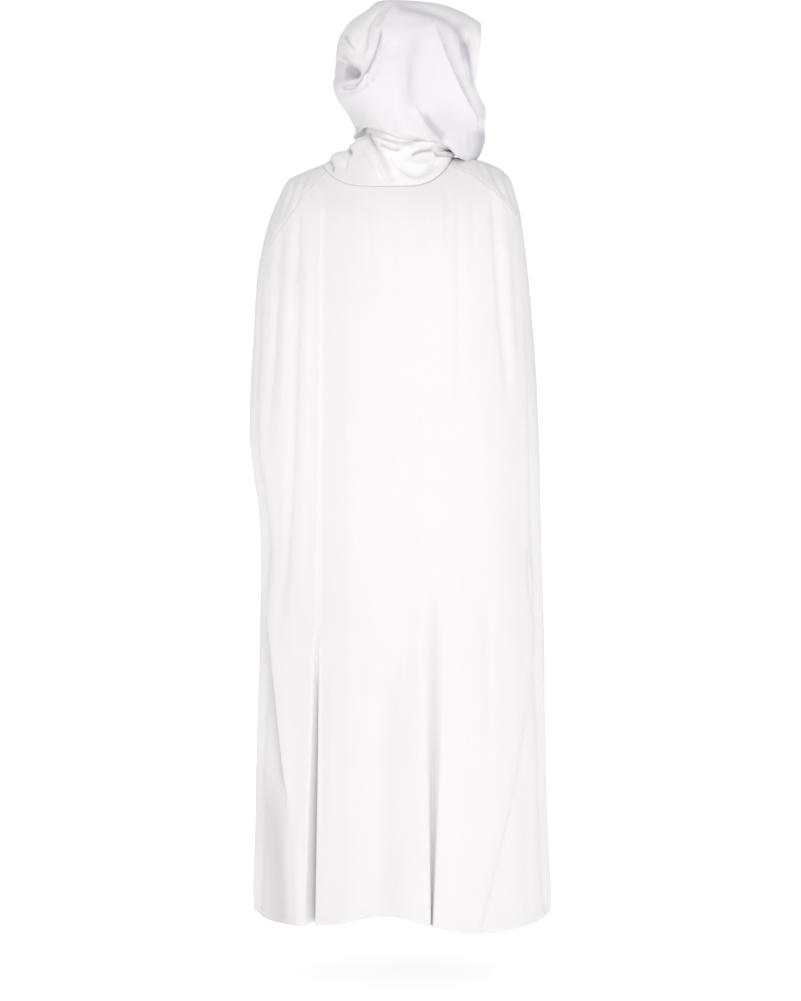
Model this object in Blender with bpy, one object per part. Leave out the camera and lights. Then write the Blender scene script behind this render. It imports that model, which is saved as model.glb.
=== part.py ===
"""Hooded cloak of the burnous kind, in its worn form, standing open underneath.

A long sleeveless cloak of thin cloth closed round the neck, with a hood sewn to
the neckline.  The cloth is a closed wall of even thickness that keeps the form
it has on a standing figure: hood up and turned to the wearer's right, cape over
the shoulders, skirt of the cape hanging in pleats to a level hem.

Frame, in metres: +Z up, origin at the middle of the base of the neck, the
wearer faces -Y and the wearer's left is +X.  Tables are in millimetres.

Five sewn pieces: back, front_left, front_right, hood_left, hood_right.
"""
import bpy
import numpy as np

for thing in list(bpy.data.objects):
    bpy.data.objects.remove(thing, do_unlink=True)

# ------------------------------------------------------------- named sizes
MM = 0.001
WALL = 2.0            # cloth wall
SEAM = 0.3            # clear line between two pieces where they are sewn
THROAT_SEAM = 150.0   # the fronts are joined for this far below the throat
GAP_TOP = 30.0        # front opening just below the throat seam
GAP_HEM = 120.0       # front opening at the hem
HEAD_RIM = 35.0       # fall of the hood's ridge from the crown to its front tip
EQUATOR_Z = 137.0     # height of the widest ring of the hood
CROWN_RISE = 146.0    # crown above that ring
HEAD_YAW = 70.0       # turn of the head toward the wearer's right, degrees
HEAD_X, HEAD_Y = -8.0, 6.0
DOME_BACK = 94.0      # reach of the dome behind its own middle
DOME_HALF = 105.0     # half width of the dome
DOME_F = -34.0        # the dome's middle, ahead of the head axis
DOME_SQUARE = 2.5     # squareness of the dome
CROWN_LEAN = 12.0     # how far the crown leans toward the rim
RIM_TOP, RIM_MID = 144.0, 133.0    # front edge ahead of the axis, at tip / at equator
RIM_SETBACK = 0.36    # the rim lies back by this much of its distance from the ridge
U_SIDE = 0.53         # share of each hood half that lies ahead of its widest line
V_EQUATOR = 0.5       # share of the hood half below the equator

# facets: columns of the fronts and the half back, rows of the body and the hood
COLS_FRONT, COLS_BACK = 14, 18
BODY_ROWS = (0, 26, 56, 100, 150, 215, 300, 400, 510, 640, 790, 950, 1110, 1240)
HOOD_ROWS = (0, .055, .11, .15, .195, .225, .26, .30, .345, .39, .45, .5, .57, .64, .715, .79, .88, 1.0)

# Cloth rings of the cape from the neck seam to the hem.  A ring runs through its
# left, right, back and front points; squareness 2 is an ellipse; rise says how
# late the ring climbs toward the shoulders.
RING_COLUMNS = ("x_left", "z_left", "x_right", "z_right", "y_side",
                "y_back", "z_back", "y_front", "z_front", "square", "rise")
RINGS = np.array((
    (140,   -4,  -94,   10,   0, 100,   -46, -105,   -62, 2.20, 4.0),   # neck seam
    (172,  -16, -150,    2,  -4, 115,   -72, -121,   -88, 2.20, 3.4),
    (200,  -30, -188,  -18,  -9, 127,  -100, -133,  -115, 2.25, 3.0),   # point of the shoulder
    (220,  -66, -207,  -60, -15, 137,  -140, -143,  -155, 2.30, 2.6),
    (236, -104, -217, -101, -22, 144,  -185, -151,  -198, 2.35, 2.4),
    (253, -172, -226, -172, -30, 149,  -245, -157,  -255, 2.40, 2.2),
    (265, -300, -240, -300, -36, 152,  -340, -162,  -345, 2.40, 2.0),
    (273, -495, -251, -495, -38, 153,  -510, -166,  -510, 2.35, 2.0),   # elbows
    (255, -640, -254, -640, -40, 153,  -645, -168,  -645, 2.35, 2.0),
    (257, -860, -262, -860, -42, 156,  -860, -170,  -860, 2.35, 2.0),
    (268, -1190, -270, -1190, -46, 163, -1190, -174, -1190, 2.30, 2.0),
    (271, -1357, -279, -1357, -48, 168, -1357, -178, -1360, 2.30, 2.0),  # hem
), float)
RING = dict(zip(RING_COLUMNS, RINGS.T))

# Where the shoulder seam, then the side seam, crosses each ring: angle from the
# centre back in degrees, on the wearer's left and right.
SEAM_COLUMNS = ("ring", "left", "right")
SEAM_LINE = dict(zip(SEAM_COLUMNS, np.array((
    (0, 64, 64), (1, 57.5, 58), (2, 54.5, 55.5), (3, 56, 63), (4, 61, 75),
    (5, 70, 86), (6, 84, 94), (7, 95, 99), (11, 98, 98)), float).T))

# Height of the hem across the back.
HEM_COLUMNS = ("x", "z")
HEM = dict(zip(HEM_COLUMNS, np.array((
    (-280, -1360), (-200, -1362), (-114, -1358), (-56, -1343), (0, -1329), (68, -1330),
    (98, -1339), (173, -1351), (228, -1359), (271, -1357)), float).T))

# Folds of the cape: the line of each fold on the cloth from its top to its foot
# (x, z at three heights), its width and how far the cloth stands out (+) or in (-).
FOLD_COLUMNS = ("x0", "z0", "x1", "z1", "x2", "z2", "width", "height")
BACK_FOLDS = (
    (140,  -34, 150,  -423, 166, -1374, 16,   6.0),   # long ridge from the left shoulder
    (122,  -90, 133,  -423, 152, -1374, 15,  -9.0),   # valley inside it
    (185,  -74, 194,  -495, 213,  -831, 15,  -6.5),
    (227, -200, 234,  -480, 240,  -640, 15,  -4.0),
    (251, -600, 227,  -978, 181, -1373, 20,  -9.0),   # diagonal valley at the lower left
    (6,   -740, 12,  -1080, 24,  -1373, 24,  -9.0),   # middle valley of the skirt
    (96,  -500, 88,   -900, 84,  -1378, 24,   6.0),
    (-27, -600, -36,  -900, -38, -1378, 18,   5.0),
    (-75, -700, -66, -1006, -60, -1386, 15, -11.0),   # deep valley right of the middle
    (-92, -740, -88, -1006, -90, -1386, 16,   5.0),
    (-101, -74, -103, -243, -105, -459, 14,  -3.0),
    (-150, -62, -178, -243, -200, -468, 18,  -5.0),
    (-261, -818, -218, -1080, -155, -1378, 30, -8.0),  # diagonal valley at the lower right
)
# The front hangs plainly; these are pleats of the same kind.
FRONT_FOLDS = (
    (96,  -150, 128,  -520, 152, -1374, 22,  -9.0),
    (-82, -150, -118, -520, -150, -1374, 22, -9.0),
    (150, -330, 190,  -700, 214, -1374, 20,   6.0),
    (-150, -330, -186, -700, -212, -1374, 20,  6.0),
    (66,  -560, 84,   -900, 96, -1374, 20,    6.0),
    (-66, -560, -82,  -900, -94, -1374, 20,   6.0),
)

# Rings of the lower hood, from just above the neck seam to just under the dome.
# f is ahead of the head axis, w to the side; the half width at the front edge is
# w_front.  The hood turns with the head, more at each ring.
HOOD_COLUMNS = ("share", "yaw", "x", "y", "f_side", "r_back", "w_right", "w_left", "r_front",
                "w_front", "z_back", "z_right", "z_left", "z_front", "square")
HOOD = dict(zip(HOOD_COLUMNS, np.array((
    (.11, 24,  4,  2,   0, 84, 76, 88, 84, 16,  -4, 21, 25, -34, 2.1),   # cowl
    (.195, 46, 0,  2,   0, 62, 73, 61, 86, 27,  62, 40, 46,  22, 2.1),   # crease at the neck
    (.225, 54, -1, 2,  -2, 60, 76, 60, 94, 34,  72, 48, 57,  33, 2.1),
    (.30, 60, -4,  4, -12, 64, 86, 84, 126, 38, 61, 35, 38,  16, 2.2),   # foot of the bag
    (.345, 64, -6, 5, -20, 68, 94, 90, 136, 46, 70, 52, 54,  38, 2.25),
    (.40, 68, -8,  6, -28, 77, 99, 98, 127, 62, 92, 86, 86,  78, 2.35),
), float).T))
DOME_START = (.57, .64)      # rows of the dome that lead the lower hood into it

# Folds of the hood, seen square on from behind (x, z), the same way.
HOOD_FOLDS = (
    (33,   239,  46,  202,  61,  158, 13,   5.0),   # edge over the pocket
    (61,   158,  79,  140,  112, 131, 12,   4.5),   # lower lip of the pocket
    (66,   170,  88,  160,  118, 156, 12,  -9.0),   # pocket
    (112,  181,  92,  176,   72, 168, 9,    3.5),   # upper lip
    (8,    222,  17,  206,   28, 185, 13,  -4.0),
    (-22,  190, -19,  150,  -19, 108, 15,  -4.0),
    (-50,  251, -83,  178, -138,  62, 14,   4.0),   # edge that runs down to the rim
    (-74,  230, -104, 160, -140,  96, 11,  -4.0),
    (-24,  104, -49,   58, -102,  14, 13,   5.0),
    (-52,  100, -72,   60, -100,  34, 12,  -4.5),
)
COWL_FOLDS = (
    (58,    44,  42,   12,   13, -34, 9,  -3.0),
    (84,    40,  96,   10,  104, -18, 9,  -3.0),
    (6,      2, -20,  -27,  -66,  -4, 10, -3.0),
)


# --------------------------------------------------------------- functions
def spline(knots, values, at):
    """Smooth curve through the values at the knots."""
    knots, values, at = (np.asarray(a, float) for a in (knots, values, at))
    slope = np.gradient(values, knots, axis=0)
    at = np.clip(at, knots[0], knots[-1])
    i = np.clip(np.searchsorted(knots, at, side="right") - 1, 0, len(knots) - 2)
    h = knots[i + 1] - knots[i]
    s = (at - knots[i]) / h
    if values.ndim > 1:
        s, h = (np.reshape(a, np.shape(a) + (1,) * (values.ndim - 1)) for a in (s, h))
    return ((2 * s**3 - 3 * s**2 + 1) * values[i] + (s**3 - 2 * s**2 + s) * h * slope[i]
            + (3 * s**2 - 2 * s**3) * values[i + 1] + (s**3 - s**2) * h * slope[i + 1])


def ease(value, low, high):
    t = np.clip((value - low) / (high - low), 0.0, 1.0)
    return t * t * (3 - 2 * t)


def ring_knots():
    """Length of cloth from the neck seam to each ring, averaged round the ring."""
    total = np.zeros(len(RINGS))
    for a, b in (("x_left", "z_left"), ("x_right", "z_right"), ("y_back", "z_back"), ("y_front", "z_front")):
        step = np.hypot(np.diff(RING[a]), np.diff(RING[b]))
        total[1:] += np.cumsum(step) / 4
    return total


KNOTS = ring_knots()
LENGTH = KNOTS[-1]


def cape(angle, drop):
    """Point of the cape: angle from the centre back toward the wearer's left, drop below the neck seam."""
    c = {name: spline(KNOTS, column, drop) for name, column in RING.items()}
    sine, cosine = np.sin(angle), np.cos(angle)
    q = (np.abs(sine)**c["square"] + np.abs(cosine)**c["square"])**(-1 / c["square"])
    side, aft = sine * q, cosine * q
    middle, half = (c["x_left"] + c["x_right"]) / 2, (c["x_left"] - c["x_right"]) / 2
    x = middle + half * side
    y = c["y_side"] + np.where(aft > 0, c["y_back"] - c["y_side"], c["y_side"] - c["y_front"]) * aft
    z_end = np.where(aft > 0, c["z_back"], c["z_front"])
    z_side = np.where(side > 0, c["z_left"], c["z_right"])
    z = z_end + (z_side - z_end) * np.abs(side)**c["rise"]
    hem = np.interp(x, HEM["x"], HEM["z"]) - (-1357)
    z = z + hem * ease(drop, LENGTH - 320, LENGTH) * ease(aft, 0.0, 0.4)
    return np.stack([x, y, z], -1)


def seam_angle(drop, side):
    """Angle of the shoulder and side seam; side is +1 on the wearer's left."""
    at = np.interp(drop, KNOTS, np.arange(len(KNOTS)))
    name = "left" if side > 0 else "right"
    return np.radians(spline(SEAM_LINE["ring"], SEAM_LINE[name], at))


def front_gap(drop):
    """Half of the front opening."""
    lower = ease(drop, THROAT_SEAM, THROAT_SEAM + 60)
    width = GAP_TOP + (GAP_HEM - GAP_TOP) * np.clip((drop - THROAT_SEAM) / (LENGTH - THROAT_SEAM), 0, 1)
    return lower * width / 2


def dome(u, v, side):
    """Point of the hood above its equator."""
    turn = np.radians(HEAD_YAW)
    alpha = np.clip((u - U_SIDE) / (1 - U_SIDE), 0, 1)
    alpha = 0.4 * alpha * np.pi / 2 + 0.6 * np.arcsin(alpha)
    beta = (v - V_EQUATOR) / (1 - V_EQUATOR)
    beta = 0.75 * beta * np.pi / 2 + 0.25 * np.arcsin(beta)
    w, b, t = np.cos(alpha) * np.cos(beta), np.sin(alpha), np.sin(beta)
    q = (np.abs(w)**DOME_SQUARE + np.abs(b)**DOME_SQUARE + np.abs(t)**DOME_SQUARE)**(-1 / DOME_SQUARE)
    ahead = np.clip(1 - u / U_SIDE, 0, 1)
    out = DOME_HALF * w * q
    rise = CROWN_RISE * t * q * (1 - HEAD_RIM / CROWN_RISE * ahead**3.0)
    rim = RIM_MID + (RIM_TOP - RIM_MID) * rise / (CROWN_RISE - HEAD_RIM) - RIM_SETBACK * out
    f = (DOME_F - DOME_BACK * b * q + (rim - DOME_F) * ahead
         + CROWN_LEAN * ease(rise / CROWN_RISE, 0.35, 0.95) * (1 - ahead))
    return place(f, out, EQUATOR_Z + rise, turn, HEAD_X, HEAD_Y, side)


def place(f, out, z, turn, x, y, side):
    """From ahead-of-axis and to-the-side on the turned head to the frame; side +1 is the left."""
    px = x - f * np.sin(turn) + side * out * np.cos(turn)
    py = y - f * np.cos(turn) - side * out * np.sin(turn)
    return np.stack([px, py, z + 0 * px], -1)


def hood_ring(k, u, side):
    """Point of one ring of the lower hood."""
    c = {name: column[k] for name, column in HOOD.items()}
    half = c["w_left"] if side > 0 else c["w_right"]
    z_side = c["z_left"] if side > 0 else c["z_right"]
    alpha = np.clip((u - U_SIDE) / (1 - U_SIDE), 0, 1) * np.pi / 2
    ahead = np.clip(1 - u / U_SIDE, 0, 1) * np.pi / 2
    q = (np.abs(np.cos(alpha))**c["square"] + np.sin(alpha)**c["square"])**(-1 / c["square"])
    f = c["f_side"] - c["r_back"] * np.sin(alpha) * q + (c["r_front"] - c["f_side"]) * np.sin(ahead)
    out = np.where(u > U_SIDE, half * np.cos(alpha) * q, c["w_front"] + (half - c["w_front"]) * np.cos(ahead))
    z = np.where(u > U_SIDE, z_side + (c["z_back"] - z_side) * np.sin(alpha)**2,
                 z_side + (c["z_front"] - z_side) * np.sin(ahead)**2)
    return place(f, out, z, np.radians(c["yaw"]), c["x"], c["y"], side)


def hood(us, vs, side):
    """Grid of one hood half: rows from the neck seam up, columns from the front edge to the centre seam."""
    us = np.asarray(us, float)
    rows = [cape(side * np.pi * (1 - us), 0.0 * us)]
    rows += [hood_ring(k, us, side) for k in range(len(HOOD["share"]))]
    rows += [dome(us, V_EQUATOR, side)] + [dome(us, v, side) for v in DOME_START]
    knots = np.concatenate([[0.0], HOOD["share"], [V_EQUATOR], DOME_START])
    rows = np.array(rows)
    grid = [spline(knots, rows, v) if v < V_EQUATOR else dome(us, v, side) for v in vs]
    return np.array(grid)


def fold_field(x, z, folds, least=0.0):
    """Height of the folds at points of the cloth given by x and z."""
    total = np.zeros_like(x)
    for fold in folds:
        f = dict(zip(FOLD_COLUMNS, fold))
        a, b, c = (np.array([f["x" + k], f["z" + k]], float) for k in "012")
        best, along = None, None
        for p, q, base in ((a, b, 0.0), (b, c, 0.5)):
            d = q - p
            t = ((x - p[0]) * d[0] + (z - p[1]) * d[1]) / (d @ d)
            s = np.clip(t, 0, 1)
            far = np.hypot(x - p[0] - s * d[0], z - p[1] - s * d[1])
            if best is None:
                best, along = far, base + s / 2
            else:
                along = np.where(far < best, base + s / 2, along)
                best = np.minimum(far, best)
        width = max(f["width"], least)
        hold = 0.35 + 0.65 * np.clip(np.minimum(along, 1 - along) * 4 + (z < -1300), 0, 1)
        total += f["height"] * np.exp(-(best / width)**2) * hold
    return total


def fullness(grid, cells):
    """Area against the longest side squared, of the thinner of two triangles."""
    least = 1.0
    for cell in cells:
        p, q, r = (grid[c] for c in cell)
        area = np.linalg.norm(np.cross(q - p, r - p)) / 2
        least = min(least, area / max((q - p) @ (q - p), (r - q) @ (r - q), (p - r) @ (p - r), 1e-12))
    return least


def triangles(grid):
    """Two triangles a cell, split along the diagonal that leaves the fuller triangles."""
    rows, cols = grid.shape[:2]
    out = []
    for i in range(rows - 1):
        for j in range(cols - 1):
            a, b, c, d = (i, j), (i, j + 1), (i + 1, j + 1), (i + 1, j)
            cells = max((((a, c, b), (a, d, c)), ((a, d, b), (b, d, c))), key=lambda pair: fullness(grid, pair))
            out += [tuple(r * cols + s for r, s in cell) for cell in cells]
    return np.array(out)


def shared_normals(grids):
    """Normal at every point, the same on both sides of a seam."""
    points = np.concatenate([g.reshape(-1, 3) for g in grids.values()])
    _, where = np.unique(np.round(points, 4), axis=0, return_inverse=True)
    where = where.reshape(-1)
    total, start = np.zeros((where.max() + 1, 3)), 0
    for g in grids.values():
        flat, tri = g.reshape(-1, 3), triangles(g)
        n = np.cross(flat[tri[:, 1]] - flat[tri[:, 0]], flat[tri[:, 2]] - flat[tri[:, 0]])
        n /= np.maximum(np.linalg.norm(n, axis=1), 1e-9)[:, None]
        for k in range(3):
            np.add.at(total, where[start + tri[:, k]], n)
        start += len(flat)
    total /= np.maximum(np.linalg.norm(total, axis=1), 1e-12)[:, None]
    out, start = {}, 0
    for name, g in grids.items():
        count = g.shape[0] * g.shape[1]
        out[name] = total[where[start:start + count]].reshape(g.shape)
        start += count
    # where the two centre seams of the hood run into each other
    crown = out["hood_left"][0, -2] + out["hood_left"][1, -1]
    out["hood_left"][0, -1] = out["hood_right"][0, 0] = crown / np.linalg.norm(crown)
    return out


def wave(name, grid, normal, reach):
    """The same cloth with its folds, which start clear of the neck seam; reach is the distance from it."""
    x, z = grid[..., 0], grid[..., 2]
    behind, before = ease(normal[..., 1], -0.10, 0.35), ease(-normal[..., 1], 0.05, 0.5)
    if name.startswith("hood"):
        high = fold_field(x, z, HOOD_FOLDS, 10) * ease(z, 18, 44) + fold_field(x, z, COWL_FOLDS, 8) * ease(-z, -34, -8)
        high = high * behind * ease(reach, 0.0, 0.10)
    else:
        calm = ease(reach, 10, 120)
        high = (fold_field(x, z, BACK_FOLDS, 15) * behind + fold_field(x, z, FRONT_FOLDS, 15) * before) * calm
    return grid + normal * high[..., None]


def inward(grid, normal, edge):
    """Unit step from an edge of the grid into the piece, along the cloth."""
    if edge in ("first_col", "last_col"):
        i = 0 if edge == "first_col" else -1
        near, line = grid[:, 1 if i == 0 else -2] - grid[:, i], np.gradient(grid[:, i], axis=0)
        n = normal[:, i]
    else:
        i = 0 if edge == "first_row" else -1
        near, line = grid[1 if i == 0 else -2] - grid[i], np.gradient(grid[i], axis=0)
        n = normal[i]
    step = np.cross(n, line)
    step *= np.sign(np.sum(step * near))
    return step / np.linalg.norm(step, axis=1)[:, None]


def draw_in(grid, normal, edges):
    """Pull the sewn edges back by half a seam line."""
    shift = np.zeros_like(grid)
    for edge in edges:
        step = inward(grid, normal, edge) * SEAM / 2
        part = {"first_col": np.s_[:, 0], "last_col": np.s_[:, -1], "first_row": np.s_[0], "last_row": np.s_[-1]}[edge]
        old = shift[part]
        along = np.sum(old * step, -1)[:, None] / (SEAM / 2)**2
        shift[part] = old + step * (1 - np.clip(along, 0, 1))
    return grid + shift


def material(name, colour, rough):
    m = bpy.data.materials.new(name)
    m.use_nodes = True
    shader = m.node_tree.nodes["Principled BSDF"]
    shader.inputs["Base Color"].default_value = (*colour, 1.0)
    shader.inputs["Roughness"].default_value = rough
    return m


def piece(name, grid, normal, edges, colour):
    """Closed wall of cloth: the outer face on the grid, the inner face one wall inside it."""
    outer = draw_in(grid, normal, edges)
    inner = outer - normal * WALL
    rows, cols = grid.shape[:2]
    count = rows * cols
    tri = triangles(grid)
    faces = [tuple(t) for t in tri] + [(t[0] + count, t[2] + count, t[1] + count) for t in tri]
    loop = [(0, j) for j in range(cols - 1)] + [(i, cols - 1) for i in range(rows - 1)]
    loop += [(rows - 1, j) for j in range(cols - 1, 0, -1)] + [(i, 0) for i in range(rows - 1, 0, -1)]
    ring = [i * cols + j for i, j in loop]
    for a, b in zip(ring, ring[1:] + ring[:1]):
        faces += [(a, b, b + count), (a, b + count, a + count)]
    mesh = bpy.data.meshes.new(name)
    points = np.concatenate([outer.reshape(-1, 3), inner.reshape(-1, 3)]) * MM
    mesh.from_pydata([tuple(p) for p in points], [], faces)
    mesh.materials.append(material(name, colour, 0.6))
    mesh.update()
    thing = bpy.data.objects.new(name, mesh)
    bpy.context.scene.collection.objects.link(thing)
    return thing


# ------------------------------------------------------------ the five pieces
def body_grid(kind):
    drops = np.array(BODY_ROWS + (LENGTH,), float)
    rows = []
    for drop in drops:
        left, right = seam_angle(drop, 1), seam_angle(drop, -1)
        half = (np.interp(drop, KNOTS, RING["x_left"]) - np.interp(drop, KNOTS, RING["x_right"])) / 2
        centre = np.pi - np.arcsin(front_gap(drop) / half)
        share = np.linspace(0, 1, COLS_BACK + 1)
        if kind == "back":
            angles = np.concatenate([left * share[::-1], -right * share[1:]])
        elif kind == "front_left":
            angles = np.linspace(centre, left, COLS_FRONT + 1)
        else:
            angles = np.linspace(-right, -centre, COLS_FRONT + 1)
        rows.append(cape(angles, drop + 0 * angles))
    return np.array(rows)


def hood_columns(side):
    """Hood columns that meet the columns of the cape at the neck seam."""
    seam = seam_angle(0.0, side)
    angles = np.concatenate([np.linspace(np.pi, seam, COLS_FRONT + 1), np.linspace(seam, 0, COLS_BACK + 1)[1:]])
    return 1 - angles / np.pi


def build():
    grids = {kind: body_grid(kind) for kind in ("back", "front_left", "front_right")}
    grids["hood_left"] = hood(hood_columns(1), HOOD_ROWS, 1)[::-1]
    grids["hood_right"] = hood(hood_columns(-1), HOOD_ROWS, -1)[::-1, ::-1]
    normals = shared_normals(grids)
    reach = {name: np.array((HOOD_ROWS[::-1] if name.startswith("hood") else BODY_ROWS + (LENGTH,)), float)[:, None]
             for name in grids}
    grids = {name: wave(name, g, normals[name], reach[name]) for name, g in grids.items()}
    normals = shared_normals(grids)
    sewn = {"back": ("first_row", "first_col", "last_col"),
            "front_left": ("first_row", "last_col", "first_col"),
            "front_right": ("first_row", "first_col", "last_col"),
            "hood_left": ("last_row", "last_col", "first_row", "first_col"),
            "hood_right": ("last_row", "first_col", "first_row", "last_col")}
    colours = {"back": (.86, .85, .87), "front_left": (.80, .78, .81), "front_right": (.80, .78, .82),
               "hood_left": (.83, .82, .85), "hood_right": (.84, .83, .86)}
    for name, grid in grids.items():
        piece(name, grid, normals[name], sewn[name], colours[name])


build()
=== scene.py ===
import math
import bpy
import numpy as np
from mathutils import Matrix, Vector


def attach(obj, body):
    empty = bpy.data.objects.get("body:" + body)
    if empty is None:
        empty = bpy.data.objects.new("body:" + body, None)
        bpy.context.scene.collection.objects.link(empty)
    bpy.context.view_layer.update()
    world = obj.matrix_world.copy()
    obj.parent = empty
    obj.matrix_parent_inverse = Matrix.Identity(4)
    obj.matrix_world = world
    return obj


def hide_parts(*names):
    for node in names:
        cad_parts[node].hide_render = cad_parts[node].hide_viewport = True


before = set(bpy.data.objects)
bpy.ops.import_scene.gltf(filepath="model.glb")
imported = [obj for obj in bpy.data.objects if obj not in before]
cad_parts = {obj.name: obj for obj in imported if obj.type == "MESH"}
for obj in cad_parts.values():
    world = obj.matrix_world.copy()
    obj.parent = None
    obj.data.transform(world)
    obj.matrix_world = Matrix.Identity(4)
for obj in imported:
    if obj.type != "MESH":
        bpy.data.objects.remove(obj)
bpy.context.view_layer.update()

SCENE = bpy.context.scene

# Hooded cloak of the burnous kind.  The forms are those of the five CAD pieces,
# worked out from the same rings and at the same places, with the cloth's folds,
# seams, hems and weave added.  Tables are in millimetres; +Z up, the wearer
# faces -Y and the wearer's left is +X.

# ------------------------------------------------------------------ camera
# The photograph looks at the back of the cloak, level with the elbows and
# slightly down.  801 x 1001 pixels, 2222 pixels of focal length.
camera = bpy.data.objects.new("camera", bpy.data.cameras.new("camera"))
SCENE.collection.objects.link(camera)
SCENE.camera = camera
camera.data.sensor_fit = "VERTICAL"
camera.data.sensor_height = 36.0
camera.data.sensor_width = 36.0 * 801 / 1001
camera.data.lens = 36.0 * 2222 / 1001
camera.data.clip_end = 60.0
camera.location = (0.0, 4.0, -0.25)
camera.rotation_euler = (math.radians(90 - 5.06), 0.0, math.radians(180))

# ------------------------------------------------------------ named sizes
MM = 0.001
THROAT_SEAM = 150.0
GAP_TOP = 30.0
GAP_HEM = 120.0
HEAD_RIM = 35.0
EQUATOR_Z = 137.0
CROWN_RISE = 146.0
HEAD_YAW = 70.0
HEAD_X, HEAD_Y = -8.0, 6.0
DOME_BACK = 94.0
DOME_HALF = 105.0
DOME_F = -34.0
DOME_SQUARE = 2.5
CROWN_LEAN = 12.0
RIM_TOP, RIM_MID = 144.0, 133.0
RIM_SETBACK = 0.36
U_SIDE = 0.53
V_EQUATOR = 0.5
CLOTH = 0.7           # thickness of the shown cloth
SEAM = 0.3
HEM_BAND = 14.0       # turned-up hem
RIM_BAND = 10.0       # turned edge of the front opening and of the hood
STITCH = 3.2          # one stitch and its gap

COLS_FRONT, COLS_BACK = 98, 120      # columns of a front, and of half the back; the hood's meet them
HOOD_ROWS = ((0, 0), (.08, 22), (.20, 56), (.30, 14), (.50, 40), (1, 74))   # share of the height, rows up to it

RING_COLUMNS = ("x_left", "z_left", "x_right", "z_right", "y_side",
                "y_back", "z_back", "y_front", "z_front", "square", "rise")
RINGS = np.array((
    (140,   -4,  -94,   10,   0, 100,   -46, -105,   -62, 2.20, 4.0),   # neck seam
    (172,  -16, -150,    2,  -4, 115,   -72, -121,   -88, 2.20, 3.4),
    (200,  -30, -188,  -18,  -9, 127,  -100, -133,  -115, 2.25, 3.0),   # point of the shoulder
    (220,  -66, -207,  -60, -15, 137,  -140, -143,  -155, 2.30, 2.6),
    (236, -104, -217, -101, -22, 144,  -185, -151,  -198, 2.35, 2.4),
    (253, -172, -226, -172, -30, 149,  -245, -157,  -255, 2.40, 2.2),
    (265, -300, -240, -300, -36, 152,  -340, -162,  -345, 2.40, 2.0),
    (273, -495, -251, -495, -38, 153,  -510, -166,  -510, 2.35, 2.0),   # elbows
    (255, -640, -254, -640, -40, 153,  -645, -168,  -645, 2.35, 2.0),
    (257, -860, -262, -860, -42, 156,  -860, -170,  -860, 2.35, 2.0),
    (268, -1190, -270, -1190, -46, 163, -1190, -174, -1190, 2.30, 2.0),
    (271, -1357, -279, -1357, -48, 168, -1357, -178, -1360, 2.30, 2.0),  # hem
), float)
RING = dict(zip(RING_COLUMNS, RINGS.T))

SEAM_COLUMNS = ("ring", "left", "right")
SEAM_LINE = dict(zip(SEAM_COLUMNS, np.array((
    (0, 64, 64), (1, 57.5, 58), (2, 54.5, 55.5), (3, 56, 63), (4, 61, 75),
    (5, 70, 86), (6, 84, 94), (7, 95, 99), (11, 98, 98)), float).T))

HEM_COLUMNS = ("x", "z")
HEM = dict(zip(HEM_COLUMNS, np.array((
    (-280, -1360), (-200, -1362), (-114, -1358), (-56, -1343), (0, -1329), (68, -1330),
    (98, -1339), (173, -1351), (228, -1359), (271, -1357)), float).T))

HOOD_COLUMNS = ("share", "yaw", "x", "y", "f_side", "r_back", "w_right", "w_left", "r_front",
                "w_front", "z_back", "z_right", "z_left", "z_front", "square")
HOOD = dict(zip(HOOD_COLUMNS, np.array((
    (.11, 24,  4,  2,   0, 84, 76, 88, 84, 16,  -4, 21, 25, -34, 2.1),   # cowl
    (.195, 46, 0,  2,   0, 62, 73, 61, 86, 27,  62, 40, 46,  22, 2.1),   # crease at the neck
    (.225, 54, -1, 2,  -2, 60, 76, 60, 94, 34,  72, 48, 57,  33, 2.1),
    (.30, 60, -4,  4, -12, 64, 86, 84, 126, 38, 61, 35, 38,  16, 2.2),   # foot of the bag
    (.345, 64, -6, 5, -20, 68, 94, 90, 136, 46, 70, 52, 54,  38, 2.25),
    (.40, 68, -8,  6, -28, 77, 99, 98, 127, 62, 92, 86, 86,  78, 2.35),
), float).T))
DOME_START = (.57, .64)

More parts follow.
